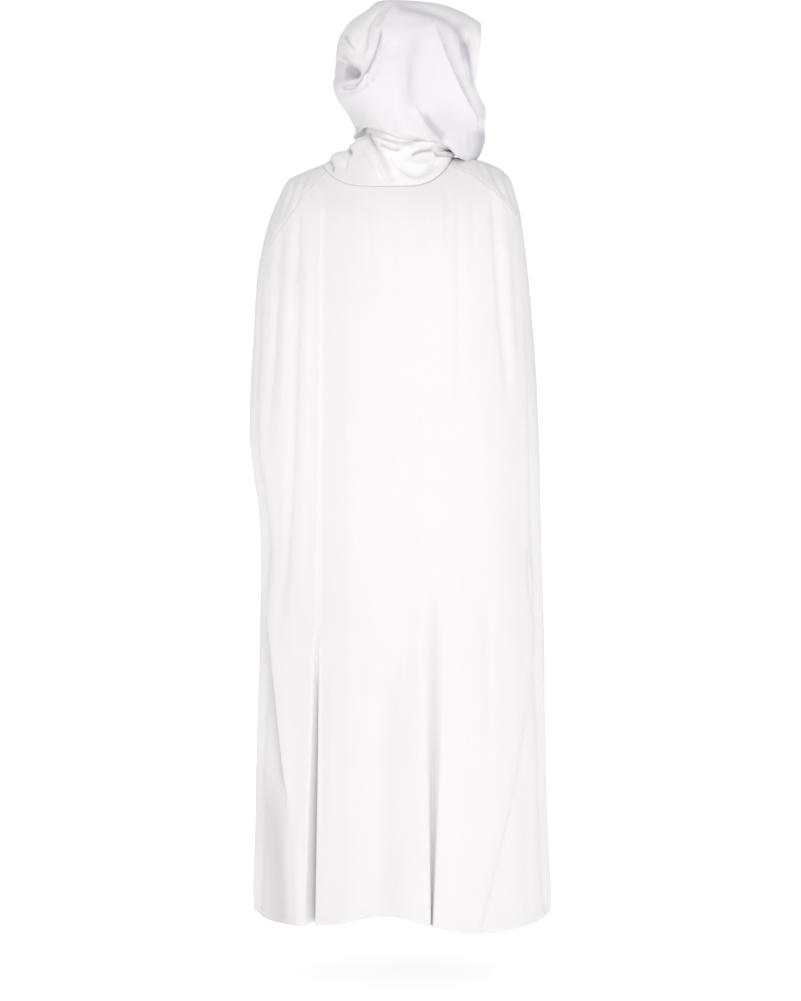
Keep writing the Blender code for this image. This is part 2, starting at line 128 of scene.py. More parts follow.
# Folds.  Those that the photograph shows are placed by its own pixels, 801 x 1001,
# through the camera above, and their widths are pixels too (1.8 mm on the cloth).
# A fold runs through three points.  Its plus side is the left when it runs down and
# below it when it runs right.  Plus and minus are the widths of its flanks, height
# is in mm, out (+) or in (-), rise and fade are the shares of its length over which
# it starts and dies away.  Then, if they differ from 1, 1 and 0: the height at its
# end and the width at its end as shares of those at its start, and lean, how far
# the cloth of the crest lies over toward the minus side, in mm.
FOLD_COLUMNS = ("x0", "y0", "x1", "y1", "x2", "y2", "plus", "minus", "height", "rise", "fade",
                "grow", "widen", "lean")
BACK_FOLDS = (
    # the long pleat from the left shoulder, its sharp edge, and the gap beside it at the hem
    (319.6, 176, 316, 540, 302.0, 950, 10,  1.7,  1.2, .06, .01, 5.4, 1.0, 0.7),
    (322.5, 180, 319, 540, 307.5, 950, 1.8, 6.0, -0.3, .10, .01, 6.0, 0.6),
    (316.8, 600, 313, 770, 308.0, 955, 1.4, 1.8, -5.0, .35, .01, 8.0, 1.9),
    (322,  640, 322,  745, 323,  860, 2.5,  6,  -3.5, .30, .35),
    (298,  196, 293,  440, 280.5, 640, 4.5, 3,  -4.5, .10, .22),
    (307,  210, 304,  440, 296,  690, 5,    5,   2.2, .20, .30),
    (281.5, 214, 274.5, 330, 268, 440, 3.2, 3,  -4.2, .15, .35),
    (289,  225, 284,  340, 277,  470, 4,    4,   2.2, .25, .35),
    # the diagonal edge at the lower left and the shaded cloth behind it
    (264,  540, 276.5, 680, 293, 830, 1.8,  9,   4.5, .25, .25, 1.0, 1.0, -3.0),
    (261,  575, 271.5, 690, 288, 840, 6,  2.2, -10.0, .35, .25),
    (262,  770, 272,  860, 280,  955, 11,  11,  -7.0, .40, .01),
    (296,  800, 297,  870, 297,  955, 4,    4,   3.0, .35, .01),
    # middle of the skirt
    (404,  560, 399,  760, 391,  955, 12,  12,  -8.5, .45, .01),
    (345,  240, 350,  600, 352,  955, 11,   9,   3.6, .40, .01),
    (366,  520, 367,  760, 364,  955, 7,    8,   2.0, .45, .01),
    (415,  300, 418,  650, 424,  955, 7,    4,   3.6, .45, .01),
    (378,  300, 380,  480, 379,  640, 8,    9,  -1.6, .40, .40),
    # valley right of the middle: wide and shallow above, a narrow gap at the hem
    (434.5, 545, 434,  740, 431.6, 955, 7.5, 7.0, -3.6, .60, .01, 4.6, 0.22),
    (443.5, 560, 442, 740, 433.2, 955, 2.2, 11,  1.6, .60, .01, 2.4, 1.0, -1.2),
    (424,  585, 426,  740, 430.0, 955, 8,  2.2,  1.6, .60, .01, 2.0, 1.0, 1.2),
    (486,  560, 488,  680, 487,  790, 5,    5,  -2.2, .35, .35),
    (458,  560, 461,  760, 458,  955, 9,   10,   2.4, .40, .01),
    # right side
    (543.5, 606, 522, 760, 478,  948, 2.2,  9,  -5.5, .12, .06),
    (533,  640, 511,  770, 468,  948, 9,  3.5,   2.6, .30, .10),
    (527,  270, 533.5, 430, 530,  570, 2.2, 3,  -3.6, .20, .06),
    (530,  548, 531,  592, 543,  622, 2.0, 2.2, -3.6, .06, .10),
    (493,  192, 499.5, 300, 512,  440, 3,   5,  -5.0, .12, .35),
    (504,  205, 510,  310, 520,  410, 4,    4,   3.2, .25, .35),
    (446.6, 190, 446.6, 215, 446, 250, 2,  2.6, -2.4, .20, .50),
    (456.8, 192, 457.7, 300, 459, 440, 2.4, 4.5, -2.8, .10, .45),
    (471,  194, 472,  222, 473,  262, 2,   2.4, -2.0, .20, .50),
    (366,  196, 369,  240, 370,  310, 4,    4,  -1.4, .20, .50),
    (394,  200, 395,  250, 396,  330, 5,    5,  -1.4, .20, .50),
    (424,  198, 424,  240, 425,  300, 4,    4,  -1.4, .20, .50),
    # gathers over the shoulders
    (308,  172, 301,  189, 292,  216, 2.0, 2.2, -3.4, .25, .35),
    (298,  174, 290,  194, 281,  224, 2.2, 2.4, -3.4, .25, .35),
    (288,  180, 281,  200, 273,  232, 2.2, 2.4, -2.4, .25, .40),
    (487,  160, 496,  180, 510,  206, 1.6, 3.0, -4.2, .20, .30),
    (484,  162, 489,  178, 495,  196, 1.8, 1.4,  2.2, .25, .40),
    (499,  166, 509,  189, 520,  224, 1.8, 3.0, -3.6, .20, .35),
    (475,  158, 482,  170, 490,  184, 1.8, 2.2, -2.0, .25, .40),
)
# Hood, the wearer's right side, because the head is turned.
HOOD_FOLDS = (
    (383,   22, 375.5, 56, 364.5, 77, 6.5, 1.4,  5.8, .30, .03, 1.3, 1.0, 3.2),   # crisp overlap
    (386,   28, 379,   58, 368.5, 80, 1.4, 4.0, -3.4, .35, .05, 1.5),
    (367,   71, 360,  84.5, 337,  88, 1.5, 3.4,  5.0, .10, .20, 1.0, 1.0, -2.4),  # lip under the pocket
    (368,   80, 360,   89, 342,   94, 3.4, 1.5, -4.5, .10, .30),
    (364,   74, 353, 65.5, 337,   57, 1.4, 5.0,  4.0, .08, .15, 1.0, 1.0, -1.8),  # lip over it
    (343,   32, 348.5, 43, 356,   52, 1.5, 3.0, -3.4, .20, .30),
    (372,   13, 367,   34, 364.5, 56, 4.0, 2.2, -3.6, .25, .30),
    (381,    9, 372,   18, 362,   31, 2.5, 2.5, -2.6, .20, .40),
    (391,    2, 383,   14, 375,   31, 2.6, 2.2, -3.8, .12, .35),
    (396,   40, 391,   50, 384,   63, 4.5, 5.0, -1.8, .30, .40),
    (379,   16, 372,   42, 361,   66, 3.5, 3.5,  2.4, .25, .20),
    (357,   20, 352,   36, 350,   54, 5.0, 5.0,  2.4, .30, .30),
    (415,   52, 411,   84, 410,  110, 2.6, 7.0, -3.8, .30, .35),
    (402,   52, 399,   84, 399,  112, 8.0, 4.0,  1.8, .35, .35),
    (428,   14, 450,   72, 481,  132, 15,  1.5,  7.5, .12, .05, 1.0, 1.0, 3.6),   # edge to the rim's foot
    (433,   16, 454,   72, 482,  127, 1.4, 8.0, -4.6, .14, .12),
    (444,   40, 445.5, 52, 447,   66, 1.4, 1.6, -2.2, .25, .30),
    (461.5, 32, 465.5, 62, 475,   93, 1.6, 1.8, -5.0, .20, .10),
    (467.5, 30, 469,   54, 472,   80, 1.5, 1.6, -4.0, .20, .15),
    (460,   70, 468,   92, 481,  112, 4.0, 3.0,  3.0, .25, .15),
    (395,    6, 445,   17, 470,   48, 5.0, 2.6, -5.0, .15, .12),   # under the ridge, behind the front edge
    (409,  94, 422.5, 120, 441, 140.5, 2.8, 1.7, 4.6, .45, .04),   # thin roll to the foot of the rim
    (438,  138, 452,  151, 470,  159, 2.4, 1.8,  4.2, .04, .10),
    (423,  110, 436,  127, 450,  148, 2.4, 6.5, -3.6, .22, .12),
    (462,  128, 466,  142, 466,  157, 3.0, 3.0,  2.4, .30, .20),
    (345,  100, 352,  112, 362,  124, 5.0, 5.0, -2.0, .30, .30),
    (372,  100, 384,  116, 400,  130, 8.0, 8.0, -2.4, .35, .25),
    (386,  128, 403,  134, 430,  144, 1.5, 3.4, -3.0, .20, .15),   # shaded turn of the bag's foot
)
COWL_FOLDS = (
    (366.5, 130, 377, 153, 393,  183, 1.7, 2.8, -10., .04, .12, 0.5, 1.6),   # long crease to the seam
    (361,  134, 370,  155, 384,  181, 3.6, 2.0,  4.4, .12, .18),
    (374,  136, 385,  155, 398,  177, 2.0, 4.0,  1.8, .20, .30),
    (360.5, 125, 360, 135, 357,  146, 2.4, 2.4, -12., .02, .20, 0.6, 0.7),   # wedge under the bag
    (357,  136, 353.5, 147, 348.5, 159, 1.6, 2.0, -11., .10, .25, 0.4, 0.8),
    (349.5, 153, 346.5, 163, 344, 173, 1.5, 2.0, -2.8, .15, .40),
    (353,  143, 342,  151, 327,  160, 5.0, 4.0,  4.0, .15, .12),   # roll along the left
    (325,  161, 332.5, 164.5, 332.5, 175, 1.4, 1.5, -5.0, .06, .25),
    (321,  163, 326,  169, 331,  176, 2.0, 2.0,  2.6, .10, .20),
    (369,  134, 390,  145, 422,  145, 2.0, 2.6,  5.5, .08, .15),   # rolls under the bag
    (378,  143.5, 391, 149.5, 401, 149, 1.4, 1.6, -4.0, .15, .25),
    (397,  157, 411,  147, 428,  146, 1.8, 2.2,  5.5, .15, .08),
    (426,  146, 447,  150, 470,  160, 1.8, 2.2,  5.5, .06, .08),
    (411,  156, 421,  151, 434,  150, 1.5, 1.5, -5.5, .15, .12),
    (432,  154, 443,  156, 456,  157, 1.6, 1.5, -5.5, .12, .15),
    (394,  160, 418, 175.5, 441, 158, 2.8, 2.8, -6.0, .18, .18),   # swag
    (403,  159, 416,  165, 430,  161, 5.0, 4.5,  3.8, .20, .20),
    (433.5, 152, 433, 158, 430,  165, 2.4, 1.2,  3.0, .10, .25),
)
# Painted shade and painted light: rows that darken the cloth's colour in creases, in the pocket,
# under overlaps, along sharp fold edges and toward the outlines, and, with a negative height,
# lighten it where light falls. Some also carry the darker look of the thin cloth where one layer
# stands alone. The same kind of row, with the change in shade for the height.
HOOD_PAINTED_LIGHT_AND_SHADE = (
    (392,    5, 425,   10, 462,   26, 6.0, 3.0,  .40, .15, .15),
    (456,   20, 463,   40, 470,   68, 6.5, 4.0,  .46, .20, .25),
    (465,   38, 470,   62, 477,   94, 2.6, 2.0,  .50, .15, .20),
    (417,   28, 411,   70, 412,  112, 6.0, 7.0,  .20, .25, .25),
    (423,  112, 434,  126, 447,  137, 6.0, 3.5,  .45, .25, .15),
    (432,   24, 450,   64, 474,  120, 1.0, 7.0,  .22, .15, .20),
    (381.3, 29, 374,   55, 364,   77, 1.0, 1.0,  .85, .15, .05),
    (344,   34, 348,   42, 355,   50, 1.0, 1.2,  .50, .20, .30),
    (372,   14, 368,   32, 366,   50, 3.0, 1.6,  .22, .25, .30),
    (388,    5, 380,   16, 375,   30, 2.0, 2.0,  .22, .20, .30),
    (340,   88, 354,   89, 364,   78, 1.2, 1.4,  .75, .20, .05),
    (339,   69, 350,   71.5, 361, 75.5, 6.5, 6.0,  .62, .10, .12),
    (346,   64, 354,   69, 362,   75, 1.0, 1.6,  .60, .20, .05),
    (480,  127, 482,  144, 474,  160, 8.0, 8.0,  .72, .30, .10),
    (428,  108, 452,  124, 476,  140, 13,  13,   .16, .30, .20),
    (479,   84, 482,  102, 484,  122, 5.0, 5.0,  .34, .25, .15),
    (446,  142, 458,  152, 472,  158, 3.0, 3.0,  .35, .20, .20),
    # negative rows: painted light on the hood's upper left and along its front edge
    (376,    8, 356,   40, 350,  106, 16,  14,  -.18, .15, .25),
    (470,   20, 478,   42, 478,   74, 5.0, 4.0, -.22, .15, .25),
)
# painted shade in the recess at the lower left, in the valleys of the skirt and on the right shoulder's shaded side
BACK_PAINTED_SHADE = (
    (264,  570, 273,  700, 287,  800, 7.0, 1.6,  .62, .45, .20),
    (268,  740, 274,  860, 280,  955, 14,  11,   .75, .35, .01),
    (434.5, 560, 434, 740, 431.6, 955, 7.0, 6.0, .34, .40, .01, 1.6, 0.25),
    (397,  620, 393,  780, 388,  955, 12,  12,   .16, .35, .01),
    (326,  176, 324,  500, 318,  955, 1.0, 40,   .10, .05, .01),
    (519,  190, 533,  330, 541,  560, 3.0, 4.0,  .35, .20, .40),
)
# painted shade in the creases of the cowl and under the bag
COWL_PAINTED_SHADE = (
    (367,  132, 377,  153, 392,  180, 1.4, 2.4,  .40, .04, .20, 0.4, 1.5),
    (360,  127, 359,  135, 357,  144, 2.6, 2.6,  .90, .02, .20),
    (356,  138, 353,  147, 349,  157, 1.4, 1.8,  .70, .10, .25),
    (394,  161, 418, 176, 440,  159, 2.4, 3.0,  .20, .20, .20),
    (380,  139, 397, 146, 416,  147, 1.2, 2.2,  .55, .20, .20),
    (378,  144, 391, 149.5, 401, 149, 1.4, 1.4,  .50, .15, .20),
    (411,  156, 421,  151, 434,  150, 1.4, 1.4,  .60, .15, .12),
    (432,  154, 443,  156, 456,  157, 1.5, 1.4,  .60, .12, .15),
    (326,  161, 332.5, 165, 332.5, 174, 1.3, 1.3, .60, .06, .25),
)
# Larger shifts of the cloth: centre and reach in pixels, then mm to the right of
# the picture, up, and toward the camera.
PUSHES = (
    (472, 151, 12, 10,  2, -10, 2),     # the lower lobe of the rim hangs to the shoulder
    (481, 127,  7,  6, -8,   0, 0),     # notch between the lobes
    (483, 110,  7,  8,  4,   0, 0),
    (398, 131, 34,  7,  0,  -7, 3),     # foot of the bag
    (455, 146, 11,  9,  2, -16, 4),
    (464, 150, 10,  8,  0,  -9, 0),
    (350, 133,  9,  7,  5,   7, 0),
    (345, 116, 13, 13,  9,   0, 0),
    (354, 142,  8,  7, -21,  0, 0),     # slope of the cowl on the left
    (335,  84, 12, 12,  6,   0, 0),
    (336,  58, 10, 13,  10,  0, 0),
    (352, 127,  9,  8,  6,   0, 0),
    (360,   8, 14, 12,  11,   0, 0),
    (479,  80, 10, 18, -3,   0, 0),
    (337, 158, 13,  8, -3,   7, 3),     # cowl stands up on the left
)
ROLL_PUSHES = ((451, 154, 12, 7, 20, 7, 6),)     # end of the rolls under the rim's foot

# What is not seen hangs in folds of the same kind.  These rows are in mm on the
# cape or hood seen square on: x and z, or y and z for the sides.
FRONT_FOLDS = (
    (96,  -120, 128,  -520, 152, -1376, 20,  5,   6.0, .30, .02, 1.6, 1.0, 3.0),
    (84,  -140, 117,  -520, 141, -1376,  5, 16,  -7.0, .30, .02, 1.6),
    (-82, -120, -118, -520, -150, -1376, 5, 20,   6.0, .30, .02, 1.6, 1.0, -3.0),
    (-70, -140, -107, -520, -139, -1376, 16, 5,  -7.0, .30, .02, 1.6),
    (150, -250, 190,  -700, 214, -1376, 12, 15,  -8.0, .35, .02, 1.4),
    (-150, -250, -186, -700, -212, -1376, 15, 12, -8.0, .35, .02, 1.4),
    (170, -420, 205,  -820, 236, -1376, 14, 12,   5.0, .35, .05),
    (-172, -360, -206, -820, -238, -1376, 12, 14,  5.0, .35, .05),
    (60,  -420, 80,   -900, 98, -1376,  12, 12,   5.0, .40, .02),
    (-58, -380, -78,  -900, -96, -1376, 12, 12,   5.0, .40, .02),
    (44,  -560, 60,   -960, 78, -1376,   8, 10,  -6.0, .40, .02),
    (-46, -600, -58,  -960, -76, -1376, 10,  8,  -6.0, .40, .02),
    (222, -180, 236,  -420, 246, -700,   9,  9,  -4.0, .30, .40),
    (-204, -160, -222, -420, -236, -720, 9,  9,  -4.0, .30, .40),
    (52,   -95, 66,   -180, 74,  -300,   6,  7,  -2.6, .20, .50),
    (-32,  -92, -48,  -180, -56, -290,   7,  6,  -2.6, .20, .50),
    (110,  -80, 134,  -170, 150, -300,   7,  7,  -3.0, .20, .50),
    (-88,  -70, -116, -160, -134, -300,  7,  7,  -3.0, .20, .50),
    (168,  -60, 190,  -120, 206, -220,   7,  7,  -2.6, .20, .50),
    (-140, -40, -160, -110, -176, -220,  7,  7,  -2.6, .20, .50),
)
SIDE_FOLDS = (
    (-70, -150, -92,  -600, -120, -1376, 12, 10, -6.0, .30, .02, 1.5),
    (-20, -220, -24,  -640, -36, -1376,  11, 12, -5.0, .35, .02, 1.5),
    (34,  -200, 40,   -560, 30,  -1376,  12, 12, -5.0, .35, .02, 1.5),
    (80,  -240, 84,   -600, 92,  -1376,  12, 10, -4.0, .35, .02),
    (-46, -380, -60,  -800, -78, -1376,  10, 12,  3.4, .35, .05),
    (8,   -360, 10,   -800, 2,   -1376,  10, 12,  3.4, .35, .05),
)
HOOD_FAR_FOLDS = (
    (-60,  250, -30,  190,   6,  120,  4,   20,   4.0, .15, .25),
    (-52,  250, -22,  190,  14,  120, 12,    4,  -3.5, .15, .30),
    (-96,  240, -84,  180, -60,  110,  5,    6,  -3.0, .20, .30),
    (30,   262,  48,  210,  56,  150,  8,   10,  -3.5, .25, .30),
    (84,   214,  74,  160,  50,  100,  7,    8,  -3.0, .25, .30),
    (-20,  150,  10,   90,  30,   58,  8,   10,   3.6, .30, .15),
    (-70,  120, -48,   70, -20,   36,  8,    5,   4.5, .25, .15),
    (-58,  116, -36,   66,  -8,   34,  4,    9,  -4.5, .25, .15),
)
COWL_FAR_FOLDS = (
    (40,    44,  66,   12,  86,  -26,  4,    4,  -4.5, .15, .30),
    (10,    34,  34,    2,  52,  -40,  4,    5,  -4.5, .15, .30),
    (-20,   22,   2,   -8,  18,  -46,  5,    4,   3.0, .20, .30),
    (-52,   22, -44,    0, -30,  -30,  4,    4,  -4.0, .15, .30),
)


# --------------------------------------------------------------- the forms
def spline(knots, values, at):
    """Smooth curve through the values at the knots."""
    knots, values, at = (np.asarray(a, float) for a in (knots, values, at))
    slope = np.gradient(values, knots, axis=0)
    at = np.clip(at, knots[0], knots[-1])
    i = np.clip(np.searchsorted(knots, at, side="right") - 1, 0, len(knots) - 2)
    h = knots[i + 1] - knots[i]
    s = (at - knots[i]) / h
    if values.ndim > 1:
        s, h = (np.reshape(a, np.shape(a) + (1,) * (values.ndim - 1)) for a in (s, h))
    return ((2 * s**3 - 3 * s**2 + 1) * values[i] + (s**3 - 2 * s**2 + s) * h * slope[i]
            + (3 * s**2 - 2 * s**3) * values[i + 1] + (s**3 - s**2) * h * slope[i + 1])


def ease(value, low, high):
    t = np.clip((value - low) / (high - low), 0.0, 1.0)
    return t * t * (3 - 2 * t)


def ring_knots():
    total = np.zeros(len(RINGS))
    for a, b in (("x_left", "z_left"), ("x_right", "z_right"), ("y_back", "z_back"), ("y_front", "z_front")):
        step = np.hypot(np.diff(RING[a]), np.diff(RING[b]))
        total[1:] += np.cumsum(step) / 4
    return total


KNOTS = ring_knots()
LENGTH = KNOTS[-1]


def cape(angle, drop):
    """Point of the cape: angle from the centre back toward the wearer's left, drop below the neck seam."""
    c = {name: spline(KNOTS, column, drop) for name, column in RING.items()}
    sine, cosine = np.sin(angle), np.cos(angle)
    q = (np.abs(sine)**c["square"] + np.abs(cosine)**c["square"])**(-1 / c["square"])
    side, aft = sine * q, cosine * q
    middle, half = (c["x_left"] + c["x_right"]) / 2, (c["x_left"] - c["x_right"]) / 2
    x = middle + half * side
    y = c["y_side"] + np.where(aft > 0, c["y_back"] - c["y_side"], c["y_side"] - c["y_front"]) * aft
    z_end = np.where(aft > 0, c["z_back"], c["z_front"])
    z_side = np.where(side > 0, c["z_left"], c["z_right"])
    z = z_end + (z_side - z_end) * np.abs(side)**c["rise"]
    hem = spline(HEM["x"], HEM["z"], x) - (-1357)
    z = z + hem * ease(drop, LENGTH - 320, LENGTH) * ease(aft, 0.0, 0.4)
    return np.stack([x, y, z], -1)


def seam_angle(drop, side):
    at = np.interp(drop, KNOTS, np.arange(len(KNOTS)))
    name = "left" if side > 0 else "right"
    return np.radians(spline(SEAM_LINE["ring"], SEAM_LINE[name], at))


def front_gap(drop):
    lower = ease(drop, THROAT_SEAM, THROAT_SEAM + 60)
    width = GAP_TOP + (GAP_HEM - GAP_TOP) * np.clip((drop - THROAT_SEAM) / (LENGTH - THROAT_SEAM), 0, 1)
    return lower * width / 2


def place(f, out, z, turn, x, y, side):
    px = x - f * np.sin(turn) + side * out * np.cos(turn)
    py = y - f * np.cos(turn) - side * out * np.sin(turn)
    return np.stack([px, py, z + 0 * px], -1)


def dome(u, v, side):
    """Point of the hood above its equator."""
    alpha = np.clip((u - U_SIDE) / (1 - U_SIDE), 0, 1)
    alpha = 0.8 * alpha * np.pi / 2 + 0.2 * np.arcsin(alpha)
    beta = (v - V_EQUATOR) / (1 - V_EQUATOR)
    beta = 0.8 * beta * np.pi / 2 + 0.2 * np.arcsin(beta)
    w, b, t = np.cos(alpha) * np.cos(beta), np.sin(alpha), np.sin(beta)
    q = (np.abs(w)**DOME_SQUARE + np.abs(b)**DOME_SQUARE + np.abs(t)**DOME_SQUARE)**(-1 / DOME_SQUARE)
    ahead = np.clip(1 - u / U_SIDE, 0, 1)
    out = DOME_HALF * w * q
    rise = CROWN_RISE * t * q * (1 - HEAD_RIM / CROWN_RISE * ahead**3.0)
    rim = RIM_MID + (RIM_TOP - RIM_MID) * rise / (CROWN_RISE - HEAD_RIM) - RIM_SETBACK * out
    f = (DOME_F - DOME_BACK * b * q + (rim - DOME_F) * ahead
         + CROWN_LEAN * ease(rise / CROWN_RISE, 0.35, 0.95) * (1 - ahead))
    return place(f, out, EQUATOR_Z + rise, np.radians(HEAD_YAW), HEAD_X, HEAD_Y, side)


def hood_ring(k, u, side):
    c = {name: column[k] for name, column in HOOD.items()}
    half = c["w_left"] if side > 0 else c["w_right"]
    z_side = c["z_left"] if side > 0 else c["z_right"]
    alpha = np.clip((u - U_SIDE) / (1 - U_SIDE), 0, 1) * np.pi / 2
    ahead = np.clip(1 - u / U_SIDE, 0, 1) * np.pi / 2
    q = (np.abs(np.cos(alpha))**c["square"] + np.sin(alpha)**c["square"])**(-1 / c["square"])
    f = c["f_side"] - c["r_back"] * np.sin(alpha) * q + (c["r_front"] - c["f_side"]) * np.sin(ahead)
    out = np.where(u > U_SIDE, half * np.cos(alpha) * q, c["w_front"] + (half - c["w_front"]) * np.cos(ahead))
    z = np.where(u > U_SIDE, z_side + (c["z_back"] - z_side) * np.sin(alpha)**2,
                 z_side + (c["z_front"] - z_side) * np.sin(ahead)**2)
    return place(f, out, z, np.radians(c["yaw"]), c["x"], c["y"], side)


def hood(us, vs, side):
    """Grid of one hood half: rows from the neck seam up, columns from the front edge to the centre seam."""
    rows = [cape(side * np.pi * (1 - us), 0.0 * us)]
    rows += [hood_ring(k, us, side) for k in range(len(HOOD["share"]))]
    rows += [dome(us, V_EQUATOR, side)] + [dome(us, v, side) for v in DOME_START]
    knots = np.concatenate([[0.0], HOOD["share"], [V_EQUATOR], DOME_START])
    rows = np.array(rows)
    return np.array([spline(knots, rows, v) if v < V_EQUATOR else dome(us, v, side) for v in vs])


# ----------------------------------------------------------------- the folds
def sight(grid):
    """Where points (mm) come in the photograph's frame, in pixels."""
    x, y, z = np.moveaxis(grid, -1, 0)
    pitch = math.radians(5.06)
    away, up = 4000.0 - y, z + 250.0
    depth = away * math.cos(pitch) - up * math.sin(pitch)
    return 400.5 - x / depth * 2222, 500.5 - (away * math.sin(pitch) + up * math.cos(pitch)) / depth * 2222


def fold_field(a, b, folds):
    """Sum of the folds at the points a, b of a view: height, and shift along a and along b."""
    total, over_a, over_b = np.zeros_like(a), np.zeros_like(a), np.zeros_like(a)
    steps = np.linspace(0, 1, 15)
    for row in folds:
        f = dict(zip(FOLD_COLUMNS, row + (1.0, 1.0, 0.0)[len(row) - 11:]))
        pa, pb = (f[k + "0"] * (2 * steps - 1) * (steps - 1) + f[k + "1"] * 4 * steps * (1 - steps)
                  + f[k + "2"] * steps * (2 * steps - 1) for k in "xy")
        reach = 3 * max(f["plus"], f["minus"]) * max(1.0, f["widen"])
        near = np.nonzero((a > pa.min() - reach) & (a < pa.max() + reach) & (b > pb.min() - reach) & (b < pb.max() + reach))
        if not len(near[0]):
            continue
        x, y = a[near], b[near]
        best = np.full(x.shape, 1e9)
        sign, along, ta, tb = (np.zeros(x.shape) for _ in range(4))
        for k in range(len(steps) - 1):
            dx, dy = pa[k + 1] - pa[k], pb[k + 1] - pb[k]
            size = dx * dx + dy * dy
            t = np.clip(((x - pa[k]) * dx + (y - pb[k]) * dy) / size, 0, 1)
            ex, ey = x - pa[k] - t * dx, y - pb[k] - t * dy
            far = np.hypot(ex, ey)
            closer = far < best
            best = np.where(closer, far, best)
            sign = np.where(closer, dx * ey - dy * ex, sign)
            along = np.where(closer, steps[k] + t * (steps[1] - steps[0]), along)
            ta, tb = np.where(closer, dy / size**0.5, ta), np.where(closer, -dx / size**0.5, tb)
        wide = 1 + (f["widen"] - 1) * along
        bell = np.exp(-(best / (np.where(sign > 0, f["plus"], f["minus"]) * wide))**2)
        hold = ease(along, 0, f["rise"]) * ease(1 - along, 0, f["fade"])
        total[near] += f["height"] * (1 + (f["grow"] - 1) * along) * bell * hold
        if f["lean"]:
            over = f["lean"] * (1 + (f["grow"] - 1) * along) * bell * hold
            over_a[near] += over * ta
            over_b[near] += over * tb
    return total, over_a, over_b


def pocket(px, py):
    """Depth of the pocket at the back of the hood, from 0 to 1."""
    top, foot = 60.6 + (px - 340) * 0.56, 82.4 - (px - 337) * 0.21
    s = (py - top) / np.maximum(foot - top, 1.5)
    across = ease(362.5 - px, 0.0, 8.0) * (0.50 + 0.50 * ease(px, 338, 349))
    return ease(s, -0.04, 0.20) * ease(1 - s, -0.04, 0.30) * across


def ripple(points, size, seed):
    """Gentle unevenness: a fixed sum of plane waves about size long, from -1 to 1."""
    rng = np.random.default_rng(seed)
    total = np.zeros(points.shape[:-1])
    for _ in range(10):
        way = rng.normal(size=3)
        way /= np.linalg.norm(way)
        total += np.sin(points @ way * (2 * np.pi / (size * rng.uniform(0.7, 1.5))) + rng.uniform(0, 6.283))
    return total / 10**0.5 / 1.4


def normals_of(grids):
    """Normals of the grids, shared where two pieces meet."""
    keys, sums = [], []
    for g in grids.values():
        n = np.cross(np.gradient(g, axis=0), np.gradient(g, axis=1))
        n /= np.maximum(np.linalg.norm(n, axis=-1), 1e-9)[..., None]
        keys.append(np.round(g.reshape(-1, 3), 3))
        sums.append(n.reshape(-1, 3))
    _, where = np.unique(np.concatenate(keys), axis=0, return_inverse=True)
    where = where.reshape(-1)
    total = np.zeros((where.max() + 1, 3))
    np.add.at(total, where, np.concatenate(sums))
    total /= np.maximum(np.linalg.norm(total, axis=1), 1e-9)[:, None]
    out, start = {}, 0
    for name, g in grids.items():
        count = g.shape[0] * g.shape[1]
        out[name] = total[where[start:start + count]].reshape(g.shape)
        start += count
    return out


def fold_cape(grid, normal, drop):
    x, y, z = np.moveaxis(grid, -1, 0)
    nx, ny = normal[..., 0], normal[..., 1]
    rear, fore = ease(ny, -0.05, 0.35), ease(-ny, 0.05, 0.50)
    calm = ease(drop, 3, 40)
    high, right, down = fold_field(*sight(grid), BACK_FOLDS)
    high, shift_x, shift_z = high * rear, -right * rear, -down * rear
    more, right, up = fold_field(x, z, FRONT_FOLDS)
    high, shift_x, shift_z = high + more * fore, shift_x + right * fore, shift_z + up * fore
    high += fold_field(y, z, SIDE_FOLDS)[0] * ease(np.abs(nx), 0.62, 0.95) * ease(drop, 120, 300)
    high += 0.9 * ripple(grid * (1.6, 1.6, 0.4), 120, 3) * ease(drop, 30, 300)
    high += 0.3 * ripple(grid * (1.4, 1.4, 0.5), 50, 5) * ease(drop, 30, 200)
    return grid + (normal * high[..., None] + np.stack([shift_x, 0 * x, shift_z], -1)) * calm[..., None]


def fold_hood(grid, normal, share):
    x, y, z = np.moveaxis(grid, -1, 0)
    ny = normal[..., 1]
    seen, unseen = ease(ny, -0.10, 0.30), ease(-ny, 0.05, 0.45)
    bag, cowl = ease(share, 0.25, 0.30), ease(share, 0.0, 0.035) * (1 - ease(share, 0.205, 0.255))
    px, py = sight(grid)
    out = np.zeros_like(grid)
    for field, far, part in ((HOOD_FOLDS, HOOD_FAR_FOLDS, bag), (COWL_FOLDS, COWL_FAR_FOLDS, cowl)):
        high, right, down = fold_field(px, py, field)
        out += (normal * high[..., None] - np.stack([right, 0 * x, down], -1)) * (seen * part)[..., None]
        out += normal * (fold_field(x, z, far)[0] * unseen * part)[..., None]
    out += np.array((-9.0, -34.0, 3.0)) * (pocket(px, py) * ease(ny, -0.5, 0.0) * bag)[..., None]
    rolls = ease(share, 0.11, 0.17) * (1 - ease(share, 0.24, 0.28)) * ease(px, 366, 386)
    rolls = rolls * (1 - 0.5 * ease(share, 0.18, 0.22) * ease(px, 424, 436))
    out += np.array((0.0, 15.0, 3.0)) * (rolls * seen)[..., None]      # the rolls fill the crease
    ends = ease(share, 0.09, 0.14) * (1 - ease(share, 0.175, 0.215)) * ease(px, 422, 446)
    out += np.array((-4.0, 12.0, 2.0)) * (ends * ease(ny, -0.5, 0.1))[..., None]
    for pushes, part in ((PUSHES, 1.0), (ROLL_PUSHES, 1 - bag)):
        for cx, cy, rx, ry, right, up, near in pushes:
            bell = np.exp(-((px - cx) / rx)**2 - ((py - cy) / ry)**2) * ease(ny, -0.5, 0.2) * ease(share, 0.0, 0.05)
            out += np.array((-right, near, up), float) * (bell * part)[..., None]
    out += normal * (0.6 * ripple(grid, 70, 7) * ease(share, 0.0, 0.12))[..., None]
    out += normal * (0.25 * ripple(grid, 30, 9) * ease(share, 0.0, 0.12))[..., None]
    return grid + out


